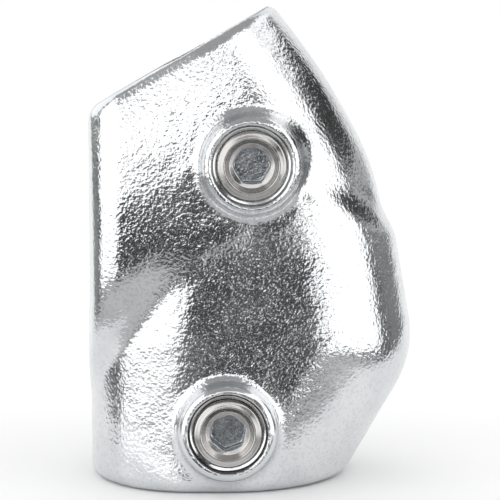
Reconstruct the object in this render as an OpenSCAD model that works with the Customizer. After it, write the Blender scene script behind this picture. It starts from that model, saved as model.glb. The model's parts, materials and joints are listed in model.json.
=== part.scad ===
// Variable-angle elbow for round tube: one malleable iron casting that holds the end of
// one tube in a round upper socket and the end of another in a fan-shaped lower socket,
// where it may lean anywhere between a right lean and a left lean. A socket set screw
// clamps each tube. The part stands on its lower rim, +X to the right, +Z up, and the
// screws face -Y.

/* [Tubes] */
// Outside diameter of the tubes that the sockets take
tube_d = 42.4; // [42:0.1:43]
// Radial gap between a tube and its socket
tube_gap = 0.3; // [0.2:0.05:0.4]
// Angle between the upper socket's axis and the vertical
upper_tilt = 30; // [28:1:32]
// Most that the lower tube leans from the vertical
lower_lean = 30; // [28:1:32]

/* [Casting] */
// Wall of the lower socket
wall = 4.5; // [4:0.1:5]
// Wall of the upper socket at its screw, where the collar is fattest
collar_wall = 4.9; // [4.6:0.1:5.4]
// Width over the straight left wall and the rounded right lobe
overall_w = 81.4; // [80:0.2:84]
// Height of the upper rim's centre over the lower rim
rim_z = 107.5; // [106:0.5:109]
// Distance of the upper rim's centre left of the middle
rim_left = 15.5; // [15:0.5:16]
// Height of the right lobe, where the casting is widest
lobe_z = 36; // [34:1:38]
// Lean of the upper edges of the lower body, towards each other
edge_lean = 10; // [8:1:12]
// Radius of the arc that swells the collar lengthwise
swell_r = 160; // [140:10:200]
// Depth of the upper socket
socket_depth = 43.5; // [42:0.5:45]

/* [Screws] */
// Thread diameter of the set screws
screw_d = 16.66; // [16:0.01:17]
// Length of a set screw
screw_len = 8.5; // [8:0.1:8.6]
// Width across the flats of the hexagon socket
hex_w = 8; // [7.5:0.1:8.5]
// Depth of the hexagon socket
hex_depth = 5.2; // [4:0.1:5.5]
// Radial running clearance of the screws in their holes
thread_gap = 0.07; // [0.03:0.01:0.1]
// Distance of the upper screw from the upper rim, along the socket
upper_screw_depth = 31; // [30:0.5:32]
// Height of the lower screw over the lower rim
lower_screw_z = 16; // [15:0.5:18]
// Outside diameter of a screw boss at its face
boss_d = 24.6; // [24:0.2:26]
// Height of a screw boss over the flat front
boss_h = 4.4; // [4.2:0.1:4.8]

/* [Hidden] */
$fn = 96;

socket_r = tube_d / 2 + tube_gap;
body_r = socket_r + wall;
collar_r = socket_r + collar_wall;
boss_face = body_r + boss_h;
// The bosses stand out in front only, so the tubes' plane lies behind the middle
tube_plane_y = (boss_face - collar_r) / 2;

// Collar: depths are measured down the socket's axis from the rim
collar_len = 62;
collar_turn_depth = 40;
collar_turn_r = 100;
rim_edge_r = 2.5;
ledge = 4;
drain_r = 15;
swell_steps = 14;
edge_steps = 5;

// Cheek: what fills the corner between the collar and the straight left wall
cheek_turn_depth = 37;
cheek_edge_r = collar_r - 0.4;
left_wall_bow_r = 110;
left_corner_r = 6;

// Lower body: centre lines of its rounded edges, as [x, z] in the tubes' plane
left_x = body_r - overall_w / 2;
lobe_x = overall_w / 2 - body_r;
edge_top_z = 75;
edge_in = tan(edge_lean);
body_edges = [
    [left_x, 0],
    [left_x, lobe_z],
    [left_x + (edge_top_z - lobe_z) * edge_in, edge_top_z],
    [lobe_x - (edge_top_z - lobe_z) * edge_in, edge_top_z],
    [lobe_x, lobe_z],
    [lobe_x - lobe_z * tan(lower_lean), 0]
];
// Shoulder: where the lobe ends under the collar
shoulder_x = 24;
shoulder_z = 71.6;
shoulder_slope = 25.5;

// The core is this much slimmer than the two seats, which stay true cylinders
seat_relief = 0.2;
core_r = socket_r - seat_relief;
seat_over = 8;
// How far each seat runs on past the centre line's bend
seat_top = 1;

screw_r = screw_d / 2;
hole_r = screw_r + thread_gap;
screw_recess = 0.2;
countersink_r = 9.9;
countersink_depth = 1.5;
boss_spread = 1.8;
boss_root = 12;
hex_mouth_r = 6.5;
hex_mouth_low_r = 3.4;
face_chamfer = 0.7;
cup_r = 4.6;
cup_depth = 1.5;
point_chamfer = 1.6;

upper_screw_x = upper_screw_depth * sin(upper_tilt) - rim_left;
upper_screw_z = rim_z - upper_screw_depth * cos(upper_tilt);
lower_screw_x = (left_x + lobe_x - (lobe_z - lower_screw_z) * tan(lower_lean)) / 2;

far = 200;

// Radius of the collar at a depth below the rim: a barrel, turned in further near its end
function collar_radius(depth) =
    collar_r - swell_r + sqrt(pow(swell_r, 2) - pow(depth - upper_screw_depth, 2))
    - pow(max(depth - collar_turn_depth, 0), 2) / (2 * collar_turn_r);

// Upper socket's own frame: its rim at the origin, +Z out of the mouth, +X along the rim
module in_collar_frame() {
    translate([-rim_left, 0, rim_z]) rotate([0, -upper_tilt, 0]) children();
}

// A screw's frame: its axis through the origin, +Z out of the front
module in_screw_frame(x, z) {
    translate([x, 0, z]) rotate([90, 0, 0]) children();
}

// Lengthwise section of the upper end, from its rounded rim to a depth, as [radius, -depth]
function barrel_profile(end) =
    let (edge_x = collar_radius(rim_edge_r) - rim_edge_r)
    concat(
        [for (i = [0 : edge_steps - 1]) let (a = 90 * (1 - i / edge_steps))
            [edge_x + rim_edge_r * cos(a), rim_edge_r * (sin(a) - 1)]],
        [for (i = [0 : swell_steps]) let (depth = rim_edge_r + (end - rim_edge_r) * i / swell_steps)
            [collar_radius(depth), -depth]]
    );

// Round collar, swelled like a barrel
module collar() {
    in_collar_frame() rotate_extrude()
        polygon(concat([[0, -collar_len], [0, 0]], barrel_profile(collar_len)));
}

// Section of the cheek: the collar's own, with a round lower edge, along X from the rim
module cheek_section() {
    edge_y = collar_radius(cheek_turn_depth) - cheek_edge_r;
    for (side = [-1, 1]) {
        polygon(concat([[-cheek_turn_depth, 0], [0, 0]],
            [for (p = barrel_profile(cheek_turn_depth)) [p[1], side * p[0]]]));
        translate([-cheek_turn_depth, side * edge_y]) circle(r = cheek_edge_r);
    }
    translate([-cheek_turn_depth - cheek_edge_r, -edge_y]) square([cheek_edge_r * 2, edge_y * 2]);
}

// Outline of the left wall from above: bowed, with rounded corners
module left_outline() {
    corner_y = collar_r - left_corner_r;
    intersection() {
        translate([left_wall_bow_r - overall_w / 2, 0]) circle(r = left_wall_bow_r);
        union() {
            translate([-overall_w / 2, -corner_y]) square([overall_w, corner_y * 2]);
            translate([left_corner_r - overall_w / 2, -collar_r]) square([overall_w, collar_r * 2]);
            for (side = [-1, 1])
                translate([left_corner_r - overall_w / 2, side * corner_y]) circle(r = left_corner_r);
        }
    }
}

// Cheek between the collar and the left wall, as the collar carried on sideways
module cheek() {
    intersection() {
        in_collar_frame() rotate([0, -90, 0]) linear_extrude(overall_w) cheek_section();
        linear_extrude(rim_z) left_outline();
    }
}

// Rounded slab along the lower body's centre lines
module slab(r) {
    hull() for (p = body_edges) translate([p[0], 0, p[1]]) sphere(r = r, $fn = 48);
}

// Lower body, cut off at the lower rim and at the shoulder under the collar
module lower_body() {
    intersection() {
        slab(body_r);
        translate([-far / 2, -far / 2, 0]) cube(far);
        translate([shoulder_x, 0, shoulder_z]) rotate([0, shoulder_slope, 0])
            translate([-far / 2, -far / 2, -far]) cube(far);
    }
}

// Boss round a screw, with a spread foot
module boss() {
    translate([0, 0, boss_root])
        cylinder(r1 = boss_d / 2 + boss_spread, r2 = boss_d / 2, h = boss_face - boss_root);
}

// Space that the lower tube swings in, up to the ledge, with a seat at each end
module lower_core() {
    intersection() {
        slab(core_r);
        in_collar_frame() translate([-far / 2, -far / 2, -far - socket_depth - ledge]) cube(far);
    }
    translate([left_x, 0, -seat_over]) cylinder(r = socket_r, h = lobe_z + seat_top + seat_over);
    translate([lobe_x, 0, lobe_z]) rotate([0, 180 + lower_lean, 0]) translate([0, 0, -seat_top])
        cylinder(r = socket_r, h = lobe_z / cos(lower_lean) + seat_over * 2);
}

// Upper socket, and the drain that joins it to the lower one
module upper_core() {
    in_collar_frame() {
        translate([0, 0, -socket_depth]) cylinder(r = socket_r, h = socket_depth + seat_over);
        translate([0, 0, -socket_depth - ledge * 2]) cylinder(r = drain_r, h = ledge * 3);
    }
}

// Hole for a set screw, with a countersunk mouth
module screw_hole() {
    translate([0, 0, socket_r / 2]) cylinder(r = hole_r, h = boss_face);
    translate([0, 0, boss_face - countersink_depth])
        cylinder(r1 = hole_r, r2 = countersink_r, h = countersink_depth + 0.01);
}

module casting() {
    color("silver") translate([0, tube_plane_y, 0]) difference() {
        union() {
            collar();
            cheek();
            lower_body();
            in_screw_frame(upper_screw_x, upper_screw_z) boss();
            in_screw_frame(lower_screw_x, lower_screw_z) boss();
        }
        upper_core();
        lower_core();
        in_screw_frame(upper_screw_x, upper_screw_z) screw_hole();
        in_screw_frame(lower_screw_x, lower_screw_z) screw_hole();
    }
}

// Set screw with a hexagon socket in its face and a cup point
module set_screw(turn) {
    face = boss_face - screw_recess;
    tip = face - screw_len;
    hex_r = hex_w / 2 / cos(30);
    hex_mouth_low = face - (hex_mouth_r - hex_mouth_low_r) / 2;
    color("lightgray") difference() {
        rotate_extrude() polygon([
            [0, tip + cup_depth],
            [cup_r, tip],
            [screw_r - point_chamfer, tip],
            [screw_r, tip + point_chamfer],
            [screw_r, face - face_chamfer],
            [screw_r - face_chamfer, face],
            [hex_mouth_r, face],
            [hex_mouth_low_r, hex_mouth_low],
            [0, hex_mouth_low]
        ]);
        translate([0, 0, face - hex_depth]) rotate([0, 0, turn])
            cylinder(r = hex_r, h = hex_depth + 1, $fn = 6);
    }
}

module upper_set_screw() {
    translate([0, tube_plane_y, 0]) in_screw_frame(upper_screw_x, upper_screw_z) set_screw(30);
}

module lower_set_screw() {
    translate([0, tube_plane_y, 0]) in_screw_frame(lower_screw_x, lower_screw_z) set_screw(-9.6);
}

casting();
upper_set_screw();
lower_set_screw();
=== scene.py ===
"""Looks of the tube clamp elbow: a galvanised casting with its grain, and two turned set screws."""

import json
import math

import bpy
import numpy as np
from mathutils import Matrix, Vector, noise


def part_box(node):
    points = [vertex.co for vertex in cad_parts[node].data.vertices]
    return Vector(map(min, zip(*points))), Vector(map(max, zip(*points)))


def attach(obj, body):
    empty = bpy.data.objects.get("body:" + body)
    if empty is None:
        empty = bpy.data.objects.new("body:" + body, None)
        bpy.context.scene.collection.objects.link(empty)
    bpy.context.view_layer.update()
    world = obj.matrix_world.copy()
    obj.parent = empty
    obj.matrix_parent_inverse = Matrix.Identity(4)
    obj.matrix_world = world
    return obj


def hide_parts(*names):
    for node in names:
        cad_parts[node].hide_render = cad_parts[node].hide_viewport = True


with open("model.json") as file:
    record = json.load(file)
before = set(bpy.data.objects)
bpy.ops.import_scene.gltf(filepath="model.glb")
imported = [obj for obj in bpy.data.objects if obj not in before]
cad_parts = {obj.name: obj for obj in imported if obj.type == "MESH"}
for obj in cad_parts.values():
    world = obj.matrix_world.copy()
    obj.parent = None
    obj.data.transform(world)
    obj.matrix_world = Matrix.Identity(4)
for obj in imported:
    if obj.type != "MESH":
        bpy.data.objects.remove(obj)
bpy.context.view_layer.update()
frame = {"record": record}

MM = 0.001


# ---------------------------------------------------------------- sizes, read from the frame
# Everything below is in millimetres, X and Z as in the frame, Y measured from the tubes' plane.

mounts = {mount["name"]: mount for mount in frame["record"]["mounts"]}
PLANE_Y = mounts["upper_socket"]["pos_m"][1] / MM


def in_millimetres(point):
    """A point of the frame, in millimetres from the tubes' plane."""
    return np.array(point) / MM - (0, PLANE_Y, 0)


def node_box(node):
    """Lowest and highest corner of a CAD node, in millimetres from the tubes' plane."""
    low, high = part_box(node)
    return in_millimetres(low), in_millimetres(high)


# Sockets and outline
SOCKET_R = mounts["upper_socket"]["dims"]["r_mm"]
SOCKET_DEPTH = mounts["upper_socket"]["dims"]["length_mm"]
RIM = in_millimetres(mounts["upper_socket"]["pos_m"])
UP = np.array(mounts["upper_socket"]["axis"])
ALONG = np.array((UP[2], 0, -UP[0]))
LEAN = -np.array(mounts["lower_socket_leaning"]["axis"])
SEAT_X = in_millimetres(mounts["lower_socket_upright"]["pos_m"])[0]
LOW, HIGH = node_box("casting")
BOSS_FACE = -LOW[1]
COLLAR_R = HIGH[1]
BODY_R = SEAT_X - LOW[0]
LOBE_X = HIGH[0] - BODY_R
LOBE_Z = 36.0
SCREWS = ("upper_set_screw", "lower_set_screw")

# Upper end: a barrel of this arc, fattest at its screw, carried on sideways as the cheek
SCREW_DEPTH = 31.0
SWELL_R = 160.0
COLLAR_LEN = 62.0
COLLAR_TURN = 40.0
COLLAR_TURN_R = 100.0
CHEEK_LEN = 63.0
CHEEK_EDGE_R = 26.0
WALL_BOW_R = 110.0
WALL_CORNER_R = 6.0
RIM_EDGE_R = 2.6
MOUTH_EDGE_R = 0.9

# Lower body: centre lines of its rounded edges, and the shoulder that cuts its lobe off
EDGE_TOP_Z = 75.0
EDGE_IN = math.tan(math.radians(10))
SHOULDER = (24.0, 71.6)
SHOULDER_SLOPE = math.radians(25.5)
SHOULDER_EDGE_R = 5.0
LOWER_EDGE_R = 2.8
CORE_R = SOCKET_R - 0.2
LEDGE = 4.0
DRAIN_R = 15.0
DRAIN_EDGE_R = 0.5
DRAIN_FILLET = 1.5
SOCKET_EDGE_R = 1.0
CORE_EDGE_R = 1.5
SEAT_FILLET = 0.5

# Bosses and their holes
BOSS_R = 11.5
BOSS_ROOT_R = 16.4
BOSS_ROOT = 12.0
BOSS_LIP_R = 10.3
BOSS_DISH = 0.16
BOSS_EDGE_R = 1.4
COUNTERSINK_R = 9.9
COUNTERSINK_DEPTH = 1.5
HOLE_EDGE_R = 0.35
HOLE_GAP = 0.15
THREAD_R = 8.40
THREAD_ROOT_R = 8.95
THREAD_PITCH = 1.337

# Set screws: half the width of the hexagon socket
HEX_HALF = 4.0

# Fillets between the casting's parts
BLOCK_FILLET = 3.0
BOSS_FILLET = 1.8

# Cell of the grid that the casting is meshed on
GRID = 0.6


# ---------------------------------------------------------------- distances that shape the casting

def union(a, b, r):
    """Nearer of two distances, with a fillet about r wide where they meet."""
    blend = np.maximum(r - np.abs(a - b), 0) / r
    return np.minimum(a, b) - blend * blend * r / 4


def meet(a, b, r):
    """Further of two distances, with the edge where they meet rounded to radius r."""
    corner = np.hypot(np.maximum(a + r, 0), np.maximum(b + r, 0))
    return np.minimum(np.maximum(a, b), -r) + corner


def carve(a, hole, r):
    """A distance with a hole cut out of it, its edge rounded to radius r."""
    return meet(a, -hole, r)


def polygon_distance(x, z, corners):
    """Distance outside a convex polygon in the tubes' plane, nothing inside it."""
    nearest = np.full(x.shape, 1e9)
    inside = np.ones(x.shape, bool)
    for (x0, z0), (x1, z1) in zip(corners, corners[1:] + corners[:1]):
        ex, ez = x1 - x0, z1 - z0
        t = np.clip(((x - x0) * ex + (z - z0) * ez) / (ex * ex + ez * ez), 0, 1)
        nearest = np.minimum(nearest, np.hypot(x - x0 - t * ex, z - z0 - t * ez))
        inside &= (x - x0) * ez - (z - z0) * ex <= 0
    return np.where(inside, 0, nearest)


BODY_EDGES = [
    (SEAT_X, 0),
    (LOBE_X - LOBE_Z * LEAN[0] / LEAN[2], 0),
    (LOBE_X, LOBE_Z),
    (LOBE_X - (EDGE_TOP_Z - LOBE_Z) * EDGE_IN, EDGE_TOP_Z),
    (SEAT_X + (EDGE_TOP_Z - LOBE_Z) * EDGE_IN, EDGE_TOP_Z),
    (SEAT_X, LOBE_Z),
]


def slab(x, y, z, r):
    """Rounded slab along the lower body's centre lines."""
    return np.hypot(polygon_distance(x, z, BODY_EDGES), y) - r


def rim_frame(x, z):
    """Distance along the rim, and depth below it."""
    return (
        (x - RIM[0]) * ALONG[0] + (z - RIM[2]) * ALONG[2],
        -(x - RIM[0]) * UP[0] - (z - RIM[2]) * UP[2],
    )


def barrel_radius(depth):
    """Half-width of the upper end at a depth below the rim."""
    return COLLAR_R - SWELL_R + np.sqrt(SWELL_R**2 - (depth - SCREW_DEPTH) ** 2)


def upper_block(x, y, z):
    """Collar, and the cheek that carries it on to the bowed left wall."""
    along, depth = rim_frame(x, z)
    side = np.hypot(np.maximum(along, 0), y) - barrel_radius(depth)
    wall = np.hypot(x - (WALL_BOW_R + LOW[0]), y) - WALL_BOW_R
    turned = np.maximum(depth - COLLAR_TURN, 0) ** 2 / (2 * COLLAR_TURN_R)
    collar = np.maximum(np.hypot(along, y) - barrel_radius(depth) + turned, depth - COLLAR_LEN)
    cheek = meet(np.maximum(side, along), depth - CHEEK_LEN, CHEEK_EDGE_R)
    cheek = meet(cheek, wall, WALL_CORNER_R)
    return meet(np.minimum(collar, cheek), -depth, RIM_EDGE_R)


def lower_body(x, y, z):
    """Fan-shaped lower body, cut off at the lower rim and at the shoulder."""
    body = meet(slab(x, y, z, BODY_R), -z, LOWER_EDGE_R)
    over = (x - SHOULDER[0]) * math.sin(SHOULDER_SLOPE) + (z - SHOULDER[1]) * math.cos(SHOULDER_SLOPE)
    return meet(body, over, SHOULDER_EDGE_R)


def screw_centre(node):
    """X and Z of a set screw's axis."""
    low, high = node_box(node)
    return (low[0] + high[0]) / 2, (low[2] + high[2]) / 2


def boss(x, y, z, centre):
    """Boss round a set screw: a spread foot and a face that falls away from its lip."""
    radial = np.hypot(x - centre[0], z - centre[1])
    rise = (-y - BOSS_ROOT) / (BOSS_FACE - BOSS_ROOT)
    side = radial - (BOSS_ROOT_R + (BOSS_R - BOSS_ROOT_R) * rise)
    face = -y - BOSS_FACE + np.maximum(radial - BOSS_LIP_R, 0) * BOSS_DISH
    return meet(side, np.maximum(face, y + BOSS_ROOT), BOSS_EDGE_R)


def screw_hole(x, y, z, centre):
    """Countersunk hole, just wider than the roots of the threaded ring that lines it."""
    radial = np.hypot(x - centre[0], z - centre[1])
    sunk = y + BOSS_FACE
    cone = (COUNTERSINK_R - THREAD_ROOT_R) * (1 - sunk / COUNTERSINK_DEPTH)
    return np.maximum(radial - THREAD_ROOT_R - np.maximum(cone, HOLE_GAP), y + SOCKET_R / 2)


def upper_core(x, y, z):
    """Upper socket and the drain through its floor."""
    along, depth = rim_frame(x, z)
    radial = np.hypot(along, y)
    socket = meet(radial - SOCKET_R, depth - SOCKET_DEPTH, SOCKET_EDGE_R)
    drain = meet(radial - DRAIN_R, depth - SOCKET_DEPTH - LEDGE * 2, DRAIN_EDGE_R)
    return union(socket, drain, DRAIN_FILLET)


def lower_core(x, y, z):
    """Space that the lower tube swings in, with a seat at each end."""
    depth = rim_frame(x, z)[1]
    core = meet(slab(x, y, np.maximum(z, 0), CORE_R), SOCKET_DEPTH + LEDGE - depth, CORE_EDGE_R)
    upright = np.maximum(np.hypot(x - SEAT_X, y) - SOCKET_R, z - LOBE_Z)
    across = (x - LOBE_X) * LEAN[2] - (z - LOBE_Z) * LEAN[0]
    below = -(x - LOBE_X) * LEAN[0] - (z - LOBE_Z) * LEAN[2]
    leaning = np.maximum(np.hypot(across, y) - SOCKET_R, -below)
    return union(union(core, upright, SEAT_FILLET), leaning, SEAT_FILLET)


def casting(points):
    """Signed distance to the casting's surface, negative in the iron."""
    x, y, z = points.T
    body = union(upper_block(x, y, z), lower_body(x, y, z), BLOCK_FILLET)
    # a fillet bulges a little, and no part of it may pass the CAD box
    body = np.maximum(body, np.maximum(LOW[0] - x, np.abs(y) - COLLAR_R))
    centres = [screw_centre(node) for node in SCREWS]
    for centre in centres:
        body = union(body, boss(x, y, z, centre), BOSS_FILLET)
    body = carve(body, upper_core(x, y, z), MOUTH_EDGE_R)
    body = carve(body, lower_core(x, y, z), MOUTH_EDGE_R)
    for centre in centres:
        body = carve(body, screw_hole(x, y, z, centre), HOLE_EDGE_R)
    return body


def slope(distance, points, step=0.02):
    """Gradient of a distance at each point."""
    offsets = np.eye(3) * step
    return np.stack([distance(points + d) - distance(points - d) for d in offsets], 1) / (2 * step)


# ---------------------------------------------------------------- a mesh from distances

def surface_net(distance, low, high, step):
    """Points and quads of a distance's zero surface, one point in each grid cell that it crosses."""
    counts = np.ceil((high - low) / step).astype(int) + 1
    axes = [low[i] + step * np.arange(counts[i]) for i in range(3)]
    values = np.empty(counts)
    yz = np.stack(np.meshgrid(axes[1], axes[2], indexing="ij"), -1).reshape(-1, 2)
    for i, x in enumerate(axes[0]):
        points = np.column_stack((np.full(len(yz), x), yz))
        values[i] = distance(points).reshape(counts[1:])
    inside = values < 0
    corners = [(i, j, k) for i in (0, 1) for j in (0, 1) for k in (0, 1)]
    cells = counts - 1
    held = np.zeros(cells, np.int8)
    for i, j, k in corners:
        held += inside[i:i + cells[0], j:j + cells[1], k:k + cells[2]]
    crossed = np.argwhere((held > 0) & (held < len(corners)))
    number = np.full(cells, -1)
    number[tuple(crossed.T)] = np.arange(len(crossed))
    total = np.zeros((len(crossed), 3))
    hits = np.zeros((len(crossed), 1))
    for a in corners:
        for axis in range(3):
            if a[axis]:
                continue
            b = np.array(a)
            b[axis] = 1
            va = values[tuple((crossed + a).T)]
            vb = values[tuple((crossed + b).T)]
            cut = (va < 0) != (vb < 0)
            t = va[cut] / (va[cut] - vb[cut])
            total[cut] += np.array(a) + t[:, None] * (b - np.array(a))
            hits[cut] += 1
    points = low + step * (crossed + total / hits)
    quads = []
    for axis in range(3):
        u, v = (axis + 1) % 3, (axis + 2) % 3
        first = [slice(None)] * 3
        second = [slice(None)] * 3
        first[axis], second[axis] = slice(0, -1), slice(1, None)
        change = np.argwhere(inside[tuple(first)] != inside[tuple(second)])
        change = change[(change[:, u] > 0) & (change[:, v] > 0)]
        leaving = inside[tuple(change.T)]
        ring = []
        for du, dv in ((1, 1), (0, 1), (0, 0), (1, 0)):
            cell = change.copy()
            cell[:, u] -= du
            cell[:, v] -= dv
            ring.append(number[tuple(cell.T)])
        ring = np.stack(ring, 1)
        quads.append(np.where(leaving[:, None], ring, ring[:, ::-1]))
    return points, np.concatenate(quads)


def settle(distance, points, rounds=3, least_slope=0.2):
    """Points moved onto the zero surface, by no more than half a grid cell in each round."""
    for _ in range(rounds):
        gradient = slope(distance, points)
        size = np.maximum((gradient**2).sum(1), least_slope)
        move = np.clip(distance(points) / size, -GRID / 2, GRID / 2)
        points = points - move[:, None] * gradient
    return points


def mesh_object(name, points, faces):
    """A smooth-shaded object from points in millimetres and a list of faces."""
    mesh = bpy.data.meshes.new(name)
    place = (points + (0, PLANE_Y, 0)) * MM
    mesh.from_pydata(place.tolist(), [], faces)
    mesh.update()
    mesh.shade_smooth()
    piece = bpy.data.objects.new(name, mesh)
    bpy.context.scene.collection.objects.link(piece)
    return piece


def set_attribute(piece, name, values):
    """A number at each point of a piece, for its material to read."""
    layer = piece.data.attributes.new(name, "FLOAT", "POINT")
    layer.data.foreach_set("value", values.astype(np.float32))


# ---------------------------------------------------------------- camera, at the photograph's angle

CAMERA_AT = Vector((-0.0043, -0.4662, 0.1169))
CAMERA_TO = Vector((-0.0002, 0.0020, 0.0569))
CAMERA_VIEW = math.radians(15.31)


def add_camera():
    """Camera in front of the screws, a little above the middle."""
    data = bpy.data.cameras.new("camera")
    data.sensor_width = 36
    data.angle = CAMERA_VIEW
    data.clip_start = 0.01
    camera = bpy.data.objects.new("camera", data)
    camera.location = CAMERA_AT
    camera.rotation_euler = (CAMERA_TO - CAMERA_AT).to_track_quat("-Z", "Y").to_euler()
    bpy.context.scene.collection.objects.link(camera)
    bpy.context.scene.camera = camera


add_camera()


# ---------------------------------------------------------------- node materials

class Nodes:
    """A node tree with short calls for adding and joining nodes."""

    def __init__(self, tree):
        self.tree = tree
        tree.nodes.clear()

    def add(self, kind, settings=None, **inputs):
        """A node with its settings, and its inputs by name or as i0, i1 and so on.

        An input is a value, or another node's output.
        """
        node = self.tree.nodes.new(kind)
        for key, value in (settings or {}).items():
            setattr(node, key, value)
        for key, value in inputs.items():
            by_number = key[0] == "i" and key[1:].isdigit()
            socket = node.inputs[int(key[1:]) if by_number else key]
            if isinstance(value, bpy.types.NodeSocket):
                self.tree.links.new(value, socket)
            else:
                socket.default_value = value
        return node

    def math(self, operation, a, b=0.0):
        """Result of a sum on two values."""
        return self.add("ShaderNodeMath", {"operation": operation}, i0=a, i1=b).outputs[0]

    def times(self, a, b):
        """Product of two values."""
        return self.math("MULTIPLY", a, b)

    def ramp(self, value, low, high, to_low=0.0, to_high=1.0):
        """A smooth step from one value to another."""
        ends = {"i1": low, "i2": high, "i3": to_low, "i4": to_high}
        node = self.add("ShaderNodeMapRange", {"interpolation_type": "SMOOTHSTEP"}, i0=value, **ends)
        return node.outputs[0]

    def mix(self, factor, a, b):
        """A colour between two colours."""
        return self.add("ShaderNodeMix", {"data_type": "RGBA"}, i0=factor, i6=a, i7=b).outputs[2]

    def noise(self, place, size, detail):
        """Soft noise, its size given as the millimetres of one lump."""
        per_metre = 1 / (size * MM)
        node = self.add("ShaderNodeTexNoise", None, Vector=place, Scale=per_metre, Detail=detail)
        return node.outputs[0]


def material(name):
    """A new node material and its tools."""
    made = bpy.data.materials.new(name)
    made.use_nodes = True
    return made, Nodes(made.node_tree)


def grey(value, tint=0.0):
    """A grey, bluer for a tint over nothing and browner for one under it."""
    return (value * (1 - tint), value, value * (1 + tint), 1)


# Zinc: sizes of its grains, lumps and cloudy patches, and the height of its bump, in millimetres
ZINC_GRAIN = 0.8
ZINC_LUMP = 2.6
ZINC_CLOUD = 14.0
ZINC_BUMP = 0.11
LUMP_SHARE = 0.7
SMOOTH_BUMP_SHARE = 0.16
# How much painted shade darkens the low points of the grain
PIT_SHADE_SHARE = 0.16
# Grain attribute of a countersink, over the 1 that a fully grainy skin has. Between the two values below,
# the countersink is darkened towards near black as painted shade.
SUNK_GRAIN_AND_SHADE = 1.6
SUNK_SHADE_FROM = 1.2
ZINC_DARK = grey(0.70, 0.025)
ZINC_LIGHT = grey(0.78, 0.015)
# Painted shade: darker zinc for the hollows of the grain
ZINC_PIT_SHADE = grey(0.32, 0.03)
# Painted shade: near-black zinc for the countersinks
ZINC_SUNK_SHADE = grey(0.10)
ZINC_ROUGHNESS = (0.12, 0.19)

# Steel: rings to the millimetre, sizes of its cloudy patches and of the specks in the hexagon
STEEL_RINGS = 6.0
STEEL_CLOUD = 2.0
STEEL_SPECK = 0.7
STEEL_BUMP = 0.014
SPECK_SHARE = 7.0
# Distances from the axis: where the specks end, and where the hexagon's tone turns to the face's
SPECKS_END = HEX_HALF + 0.5
HEX_TONE_END = HEX_HALF + 0.35
FACE_TONE_START = HEX_HALF + 0.65
STEEL_DARK = grey(0.46, -0.03)
STEEL_LIGHT = grey(0.58, -0.02)
STEEL_HEXAGON = grey(0.40, 0.05)
STEEL_ROUGHNESS = (0.18, 0.28)


def galvanised():
    """Hot-dip zinc over a sand-cast skin: bright and grainy, with painted shade in the hollows of its
    grain and in its countersinks.
    """
    made, n = material("galvanised_zinc")
    place = n.add("ShaderNodeTexCoord").outputs["Object"]
    grain = n.add("ShaderNodeAttribute", {"attribute_name": "grain"}).outputs["Fac"]
    grains = n.noise(place, ZINC_GRAIN, 1.0)
    lumps = n.noise(place, ZINC_LUMP, 1.0)
    height = n.math("ADD", grains, n.times(lumps, LUMP_SHARE))
    height = n.times(height, n.ramp(grain, 0.0, 1.0, SMOOTH_BUMP_SHARE, 1.0))
    bump = n.add("ShaderNodeBump", None, Strength=1.0, Distance=ZINC_BUMP * MM, Height=height).outputs[0]
    cloud = n.noise(place, ZINC_CLOUD, 3.0)
    tone = n.mix(n.ramp(cloud, 0.35, 0.65), ZINC_DARK, ZINC_LIGHT)
    # Painted shade: the grain's low points are darkened, more where the skin is grainier
    pit_shade = n.ramp(grains, 0.38, 0.5, 1.0, 0.0)
    tone = n.mix(n.times(pit_shade, n.times(grain, PIT_SHADE_SHARE)), tone, ZINC_PIT_SHADE)
    # Painted shade: the countersinks, where the grain attribute passes 1, are darkened towards near black
    tone = n.mix(n.ramp(grain, SUNK_SHADE_FROM, SUNK_GRAIN_AND_SHADE, 0.0, 0.8), tone, ZINC_SUNK_SHADE)
    rough = n.ramp(cloud, 0.3, 0.7, *ZINC_ROUGHNESS)
    shader = n.add("ShaderNodeBsdfPrincipled", None, Metallic=1.0, Roughness=rough, Normal=bump)
    n.tree.links.new(tone, shader.inputs["Base Color"])
    n.add("ShaderNodeOutputMaterial", None, Surface=shader.outputs[0])
    return made


def turned_steel():
    """Plated steel with the lathe's fine rings round each screw's axis, and a rough hexagon."""
    made, n = material("turned_steel")
    place = n.add("ShaderNodeTexCoord").outputs["Object"]
    radial = n.add("ShaderNodeAttribute", {"attribute_name": "radial"}).outputs["Fac"]
    in_line = {"noise_dimensions": "1D"}
    ring = n.add("ShaderNodeTexNoise", in_line, W=radial, Scale=STEEL_RINGS, Detail=3.0)
    cloud = n.noise(place, STEEL_CLOUD, 3.0)
    specks = n.times(n.noise(place, STEEL_SPECK, 1.0), SPECK_SHARE)
    in_hexagon = n.ramp(radial, HEX_HALF, SPECKS_END, 1.0, 0.0)
    height = n.math("ADD", ring.outputs[0], n.times(in_hexagon, specks))
    bump = n.add("ShaderNodeBump", None, Strength=1.0, Distance=STEEL_BUMP * MM, Height=height).outputs[0]
    tone = n.mix(cloud, STEEL_DARK, STEEL_LIGHT)
    tone = n.mix(n.ramp(radial, HEX_TONE_END, FACE_TONE_START), STEEL_HEXAGON, tone)
    rough = n.ramp(cloud, 0.3, 0.7, *STEEL_ROUGHNESS)
    shader = n.add("ShaderNodeBsdfPrincipled", None, Metallic=1.0, Roughness=rough, Normal=bump)
    n.tree.links.new(tone, shader.inputs["Base Color"])
    n.add("ShaderNodeOutputMaterial", None, Surface=shader.outputs[0])
    return made


# ---------------------------------------------------------------- the casting

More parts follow.
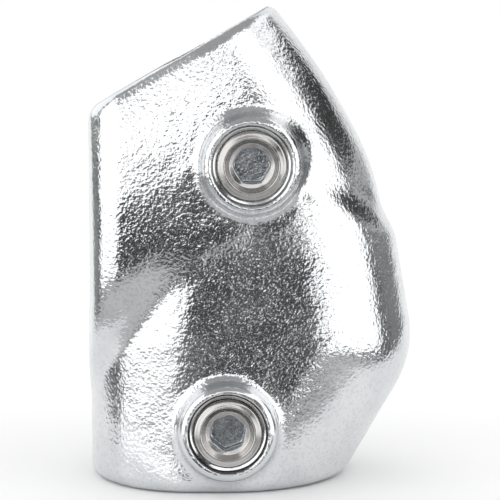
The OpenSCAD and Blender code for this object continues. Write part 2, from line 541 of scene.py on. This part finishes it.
# Grain on a boss grows outwards from this radius over a span, and under the upper rim from a
# start; a boss begins this clear of the flat front, and a countersink this far under its face
BOSS_GRAIN_R = 12.0
BOSS_GRAIN_SPAN = 4.0
BOSS_GRAIN_LEAST = 0.12
BOSS_CLEAR = 0.6
SUNK_LIP = 0.15
RIM_GRAIN_SPAN = 3.5
RIM_GRAIN_START = 0.1
RIM_GRAIN_LEAST = 0.25

# The skin is sunk by this much, give or take its lumps and its fine grain, which are given as
# noise cells to the millimetre and a height in millimetres
SKIN_SINK = 0.08
SKIN_LUMPS = ((0.16, 0.07), (0.5, 0.02))
SKIN_FINE = (0.9, 0.012)


def grain_of(points):
    """How grainy the skin is at each point: less on the bosses and at the upper rim, and over 1 in the
    countersinks, which marks them for painted shade.
    """
    x, y, z = points.T
    grain = np.ones(len(points))
    for node in SCREWS:
        centre = screw_centre(node)
        radial = np.hypot(x - centre[0], z - centre[1])
        on_boss = (y < -BODY_R - BOSS_CLEAR) & (radial > COUNTERSINK_R)
        rising = np.clip((radial - BOSS_GRAIN_R) / BOSS_GRAIN_SPAN, BOSS_GRAIN_LEAST, 1)
        grain = np.where(on_boss, rising, grain)
        # Countersinks get a grain value over 1, which the zinc material turns into painted shade
        sunk = (y > SUNK_LIP - BOSS_FACE) & (y < 0) & (radial < COUNTERSINK_R)
        grain = np.where(sunk, SUNK_GRAIN_AND_SHADE, grain)
    depth = rim_frame(x, z)[1]
    return grain * np.clip(depth / RIM_GRAIN_SPAN + RIM_GRAIN_START, RIM_GRAIN_LEAST, 1)


def roughen(points, normals, grain):
    """Points sunk by the casting's lumps and its finer grain."""
    moved = points.copy()
    for i, (point, normal, share) in enumerate(zip(points, normals, grain)):
        at = Vector(point)
        lumps = sum(noise.noise(at * cells) * height for cells, height in SKIN_LUMPS)
        fine = noise.noise(at * SKIN_FINE[0]) * SKIN_FINE[1]
        moved[i] -= normal * max(0.0, SKIN_SINK + lumps * (0.5 + share / 2) + fine * share)
    return moved


def build_casting():
    """The whole casting as one closed mesh."""
    margin = 3 * GRID
    points, quads = surface_net(casting, LOW - margin, HIGH + margin, GRID)
    points = settle(casting, points)
    normals = slope(casting, points)
    normals /= np.maximum(np.linalg.norm(normals, axis=1, keepdims=True), 1e-6)
    grain = grain_of(points)
    points = roughen(points, normals, grain)
    piece = mesh_object("elbow_casting", points, quads.tolist())
    set_attribute(piece, "grain", grain)
    piece.data.materials.append(galvanised())
    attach(piece, "casting")
    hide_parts("casting")
    return piece


casting_piece = build_casting()


# ---------------------------------------------------------------- set screws and their threads

# A ring of a turned piece has this many points
SEGMENTS = 144
ANGLES = np.arange(SEGMENTS) * 2 * math.pi / SEGMENTS

# Hexagon socket: its corners, its floor as shares of its radius, and the corner round the floor as
# (share of its radius, height over the floor)
HEX_DEPTH = 5.2
HEX_TURN = {"upper_set_screw": 30.0, "lower_set_screw": -9.6}
HEX_CORNER_CUT = 0.125
HEX_FLOOR = (0.005, 0.3, 0.6, 0.9, 0.96)
HEX_FLOOR_CORNER = ((0.985, 0.03), (1.0, 0.12), (1.0, 0.2), (1.0, 2.0))
HEX_EDGE = 0.06
HEX_EDGE_RISE = 0.1

# Shallow round mouth: a ring that falls to the hexagon, and a flaring wall round it
MOUTH_R = 6.45
MOUTH_DEPTH = 1.3
MOUTH_EDGE_START = 0.35
MOUTH_RING_R = 5.35
MOUTH_RING_FALL = 0.2
MOUTH_RING_STEPS = (0.3, 0.6, 0.92, 1.0)
MOUTH_FLARE = 0.92
MOUTH_FLARE_STEPS = (0.06, 0.35, 0.65, 0.94)

# Turned face from the mouth's lip to its outer edge, as (radius, depth under the face)
FACE_FALL = 0.20
FACE_RINGS = (
    (MOUTH_R + 0.04, 0.03),
    (MOUTH_R + 0.14, 0.0),
    (6.95, 0.02),
    (7.0, 0.06),
    (7.6, FACE_FALL * 0.6),
    (7.95, FACE_FALL),
    (8.1, FACE_FALL + 0.12),
)

# Thread: how steep its flanks are, how flat its crests, the edge before it as (distance inside the
# crest, depth under the face), and the depth where it starts and the length that it grows over
THREAD_DEPTH = 0.75
THREAD_STEEPNESS = 1.35
THREAD_FLAT = 0.15
THREAD_EDGE = (0.02, 0.75)
THREAD_START = 0.8
THREAD_RUN_IN = 0.5
ROWS_PER_PITCH = 10

# Cup point with a knurled edge, and its hollow as shares of the cup's radius and depth
POINT_CHAMFER = 1.6
POINT_SHOULDER = 0.1
POINT_EDGE = (0.05, 0.08)
POINT_FLAT_EDGE = 0.25
CUP_R = 4.6
CUP_DEPTH = 1.5
CUP_EDGE = (0.35, 0.1)
CUP_HOLLOW = ((0.7, 0.4), (0.3, 0.8))
KNURL_DEPTH = 0.22
KNURL_TEETH = 24
AXIS_R = 0.02

# Threaded ring that lines a hole: its wall in the iron, its chamfer, and where its thread runs
LINER_WALL = 1.6
LINER_BACK = 0.35
LINER_CHAMFER = (0.35, 0.1)
LINER_GAP = 0.05
LINER_START = 0.5
LINER_END = 0.1
LINER_FADE_ROWS = 4


def hexagon_radius(turn):
    """Distance from the axis to a hexagon with slightly cut corners, at each angle."""
    sixth = math.pi / 3
    # angle off the middle of the nearest flat
    off = (ANGLES - math.radians(turn) - sixth / 2 + sixth * 6) % sixth - sixth / 2
    return np.minimum(HEX_HALF / np.cos(off), HEX_HALF / math.cos(sixth / 2) - HEX_CORNER_CUT)


def thread(height, crest, depth):
    """Radius of a thread's helix at a height, at each angle."""
    phase = (height / THREAD_PITCH - ANGLES / (2 * math.pi)) % 1
    return crest - depth * np.clip(np.abs(2 * phase - 1) * THREAD_STEEPNESS - THREAD_FLAT, 0, 1)


def between(a, b, share):
    """Value at a share of the way from one value to another."""
    return a + (b - a) * share


def lathe(name, rings, centre, closed_loop=False):
    """A closed mesh round a screw's axis, from rings of (radius at each angle, height forwards)."""
    loops = []
    for radius, height in rings:
        x = centre[0] + radius * np.cos(ANGLES)
        y = -np.broadcast_to(height, SEGMENTS)
        z = centre[1] + radius * np.sin(ANGLES)
        loops.append(np.column_stack((x, y, z)))
    points = np.concatenate(loops)
    faces = []
    count = len(rings)
    for i in range(count if closed_loop else count - 1):
        here = i * SEGMENTS
        there = (i + 1) % count * SEGMENTS
        for j in range(SEGMENTS):
            k = (j + 1) % SEGMENTS
            faces.append((here + j, here + k, there + k, there + j))
    if not closed_loop:
        faces.append(tuple(reversed(range(SEGMENTS))))
        faces.append(tuple(range((count - 1) * SEGMENTS, count * SEGMENTS)))
    piece = mesh_object(name, points, faces)
    set_attribute(piece, "radial", np.hypot(points[:, 0] - centre[0], points[:, 2] - centre[1]))
    return piece


def socket_rings(turn, face):
    """Rings of a hexagon socket from its floor up to its shallow round mouth."""
    socket = hexagon_radius(turn)
    floor = face - HEX_DEPTH
    bottom = face - MOUTH_DEPTH
    inner = bottom - MOUTH_RING_FALL
    rings = [(socket * share, floor) for share in HEX_FLOOR]
    rings += [(socket * share, floor + rise) for share, rise in HEX_FLOOR_CORNER]
    rings.append((socket, bottom - MOUTH_EDGE_START))
    rings.append((socket + HEX_EDGE, inner + (socket - HEX_HALF) * HEX_EDGE_RISE))
    for t in MOUTH_RING_STEPS:
        rings.append((between(socket, MOUTH_RING_R, t), between(inner, bottom, t)))
    for t in MOUTH_FLARE_STEPS:
        rings.append((between(MOUTH_RING_R, MOUTH_R, t), bottom + MOUTH_DEPTH * MOUTH_FLARE * t))
    return rings


def thread_rings(crest, depth, first, last, fade):
    """Rings of a thread between two heights; fade(row, rows) is the share of its depth at a row."""
    rows = int((first - last) / THREAD_PITCH * ROWS_PER_PITCH)
    rings = []
    for row in range(rows + 1):
        height = between(first, last, row / rows)
        rings.append((thread(height, crest, depth * fade(row, rows)), height))
    return rings


def point_rings(radius, tip):
    """Rings of a screw's knurled cup point, from the end of its thread to its axis."""
    knurl = KNURL_DEPTH * (0.5 + 0.5 * np.cos(ANGLES * KNURL_TEETH))
    flat = radius - POINT_CHAMFER
    rings = [(radius - THREAD_DEPTH, tip + POINT_CHAMFER - POINT_SHOULDER)]
    rings.append((flat - POINT_EDGE[0], tip + POINT_EDGE[1]))
    rings.append((flat - POINT_FLAT_EDGE, tip))
    rings.append((CUP_R + CUP_EDGE[0], tip + knurl))
    rings.append((CUP_R, tip + CUP_EDGE[1] + knurl))
    rings += [(CUP_R * out, tip + CUP_DEPTH * deep) for out, deep in CUP_HOLLOW]
    rings.append((AXIS_R, tip + CUP_DEPTH))
    return rings


def build_screw(node, steel):
    """Set screw: hexagon socket, turned face, thread and cup point."""
    low, high = node_box(node)
    radius = (high[0] - low[0]) / 2
    face, tip = -low[1], -high[1]
    first, last = face - THREAD_START, tip + POINT_CHAMFER

    def run_in(row, rows):
        """The thread grows to its full depth under the face."""
        return min(1.0, (first - last) * row / rows / THREAD_RUN_IN)

    rings = socket_rings(HEX_TURN[node], face)
    rings += [(ring_r, face - depth) for ring_r, depth in FACE_RINGS]
    rings.append((radius - THREAD_EDGE[0], face - THREAD_EDGE[1]))
    rings += thread_rings(radius, THREAD_DEPTH, first, last, run_in)
    rings += point_rings(radius, tip)
    piece = lathe(node + "_turned", rings, screw_centre(node))
    piece.data.materials.append(steel)
    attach(piece, node)
    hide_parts(node)


def build_thread(node, zinc):
    """Threaded ring that lines a screw's hole."""
    front = BOSS_FACE - COUNTERSINK_DEPTH
    back = SOCKET_R + LINER_BACK
    outer = THREAD_ROOT_R + LINER_WALL
    bore = THREAD_R + LINER_GAP
    first, last = front - LINER_START, back + LINER_END

    def both_ends(row, rows):
        """The thread is shallow at both ends of the ring."""
        return min(1.0, row / LINER_FADE_ROWS, (rows - row) / LINER_FADE_ROWS)

    rings = [(outer, back), (outer, front)]
    rings.append((THREAD_ROOT_R + LINER_CHAMFER[0], front + LINER_CHAMFER[1]))
    rings.append((bore, first))
    rings += thread_rings(THREAD_R, THREAD_R - THREAD_ROOT_R, first, last, both_ends)
    rings.append((bore, back))
    name = node.replace("set_screw", "hole_thread")
    piece = lathe(name, rings, screw_centre(node), closed_loop=True)
    piece.data.materials.append(zinc)
    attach(piece, "casting")


steel = turned_steel()
for screw_node in SCREWS:
    build_screw(screw_node, steel)
    build_thread(screw_node, casting_piece.data.materials[0])


# ---------------------------------------------------------------- studio: pale floor and soft light

# Floor, in metres: its front and back edge, and half its width at each
FLOOR_FRONT = -0.045
FLOOR_BACK = 80.0
FLOOR_FRONT_HALF = 0.068
FLOOR_BACK_HALF = 80.0
FLOOR_TONE = grey(0.88)
FLOOR_ROUGHNESS = 0.8


def add_floor():
    """Pale floor, from just before the object to far behind it, wider the further back it goes."""
    corners = [
        (-FLOOR_FRONT_HALF, FLOOR_FRONT, 0),
        (FLOOR_FRONT_HALF, FLOOR_FRONT, 0),
        (FLOOR_BACK_HALF, FLOOR_BACK, 0),
        (-FLOOR_BACK_HALF, FLOOR_BACK, 0),
    ]
    mesh = bpy.data.meshes.new("floor")
    mesh.from_pydata(corners, [], [(0, 1, 2, 3)])
    floor = bpy.data.objects.new("floor", mesh)
    bpy.context.scene.collection.objects.link(floor)
    made, n = material("pale_floor")
    shader = n.add("ShaderNodeBsdfPrincipled", None, Roughness=FLOOR_ROUGHNESS)
    shader.inputs["Base Color"].default_value = FLOOR_TONE
    n.add("ShaderNodeOutputMaterial", None, Surface=shader.outputs[0])
    mesh.materials.append(made)


def window(n, value, low, high, soft):
    """One inside a range, nothing outside it, with soft ends."""
    rise = n.ramp(value, low - soft, low + soft)
    fall = n.ramp(value, high - soft, high + soft, 1.0, 0.0)
    return n.times(rise, fall)


# Directions of light, in degrees: a bearing runs from the camera's side round to the right, and a
# height from the horizon up. These soft boxes stand at the sides and behind the object.
SOFT_BOXES = (
    # bearing from, to, height from, to, softness, brightness
    (-160, -96, 4, 50, 5, 1.3),
    (-150, -96, -30, 4, 6, 0.3),
    (-180, -150, -30, 50, 8, 0.9),
    (138, 180, -30, 50, 6, 1.0),
    (90, 150, 34, 56, 4, 1.4),
    (96, 138, 4, 15, 4, 0.55),
    (96, 138, -30, 4, 6, 0.26),
)
# The bright wall in front reaches this far to either side. Its top is a V that rises from its
# vertex by this much for each degree of bearing, over a span.
WALL_BRIGHT = 1.65
WALL_ASIDE = 87
WALL_ASIDE_SOFT = 6
WALL_LOW = -15
WALL_TOP = 18
WALL_SOFT = 3
WALL_VERTEX = -10
WALL_TOP_RISE = 0.62
WALL_TOP_SPAN = 56.0
# The dark gap in the wall slants up to the right
GAP_TILT = math.radians(38)
GAP_ALONG = (-24, 48)
GAP_ALONG_SOFT = 5
GAP_ACROSS = (-14, 3)
GAP_ACROSS_SOFT = 2.5
# Light between the boxes, over the wall, and from below
AMBIENT = 0.05
OVERHEAD = 0.42
GROUND = 0.6
GROUND_DOWN = 9
WHITE = (1, 1, 1, 1)


def bright_wall(n, bearing, height, level):
    """Brightness of the wall in front, level being the height over the slope of its top."""
    wall = n.times(
        n.ramp(height, WALL_LOW - WALL_SOFT, WALL_LOW + WALL_SOFT),
        n.ramp(level, WALL_TOP - WALL_SOFT, WALL_TOP + WALL_SOFT, 1.0, 0.0))
    aside = n.math("ABSOLUTE", bearing)
    near, far = WALL_ASIDE - WALL_ASIDE_SOFT, WALL_ASIDE + WALL_ASIDE_SOFT
    wall = n.times(wall, n.ramp(aside, near, far, 1.0, 0.0))
    cosine, sine = math.cos(GAP_TILT), math.sin(GAP_TILT)
    along = n.math("ADD", n.times(bearing, cosine), n.times(height, sine))
    across = n.math("SUBTRACT", n.times(height, cosine), n.times(bearing, sine))
    gap = n.times(
        window(n, along, *GAP_ALONG, GAP_ALONG_SOFT),
        window(n, across, *GAP_ACROSS, GAP_ACROSS_SOFT))
    return n.times(n.times(wall, n.math("SUBTRACT", 1.0, gap)), WALL_BRIGHT)


def add_studio_light():
    """The world's light: a wall, soft boxes, overhead and ground, but plain white to the camera."""
    world = bpy.data.worlds.new("studio")
    world.use_nodes = True
    bpy.context.scene.world = world
    n = Nodes(world.node_tree)
    direction = n.add("ShaderNodeTexCoord").outputs["Generated"]
    parts = n.add("ShaderNodeSeparateXYZ", None, Vector=direction).outputs
    toward = n.times(parts[1], -1.0)
    bearing = n.times(n.math("ARCTAN2", parts[0], toward), math.degrees(1))
    height = n.times(n.math("ARCSINE", parts[2]), math.degrees(1))
    spread = n.math("ABSOLUTE", n.math("SUBTRACT", bearing, WALL_VERTEX))
    rise = n.times(n.math("MINIMUM", spread, WALL_TOP_SPAN), WALL_TOP_RISE)
    level = n.math("SUBTRACT", height, rise)
    light = n.ramp(height, WALL_LOW - GROUND_DOWN, WALL_LOW - WALL_SOFT, GROUND, AMBIENT)
    light = n.math("MAXIMUM", light, n.ramp(level, WALL_TOP - WALL_SOFT, WALL_TOP, AMBIENT, OVERHEAD))
    light = n.math("MAXIMUM", light, bright_wall(n, bearing, height, level))
    for left, right, low, high, soft, bright in SOFT_BOXES:
        box = n.times(window(n, bearing, left, right, soft), window(n, height, low, high, soft))
        light = n.math("MAXIMUM", light, n.times(box, bright))
    studio = n.add("ShaderNodeBackground", None, Color=WHITE, Strength=light)
    white = n.add("ShaderNodeBackground", None, Color=WHITE, Strength=1.0)
    seen = n.add("ShaderNodeLightPath").outputs["Is Camera Ray"]
    both = n.add("ShaderNodeMixShader", None, i0=seen, i1=studio.outputs[0], i2=white.outputs[0])
    n.add("ShaderNodeOutputWorld", None, Surface=both.outputs[0])


FLOOR_LIGHT_SPREAD = math.radians(110)
FLOOR_LIGHT_ENERGY = 1.25


def add_floor_light():
    """Broad soft light on the floor, which the zinc doesn't mirror."""
    data = bpy.data.lights.new("floor_light", "SUN")
    data.angle = FLOOR_LIGHT_SPREAD
    data.energy = FLOOR_LIGHT_ENERGY
    lamp = bpy.data.objects.new("floor_light", data)
    lamp.visible_glossy = False
    bpy.context.scene.collection.objects.link(lamp)


add_floor()
add_studio_light()
add_floor_light()
bpy.context.scene.view_settings.view_transform = "Standard"
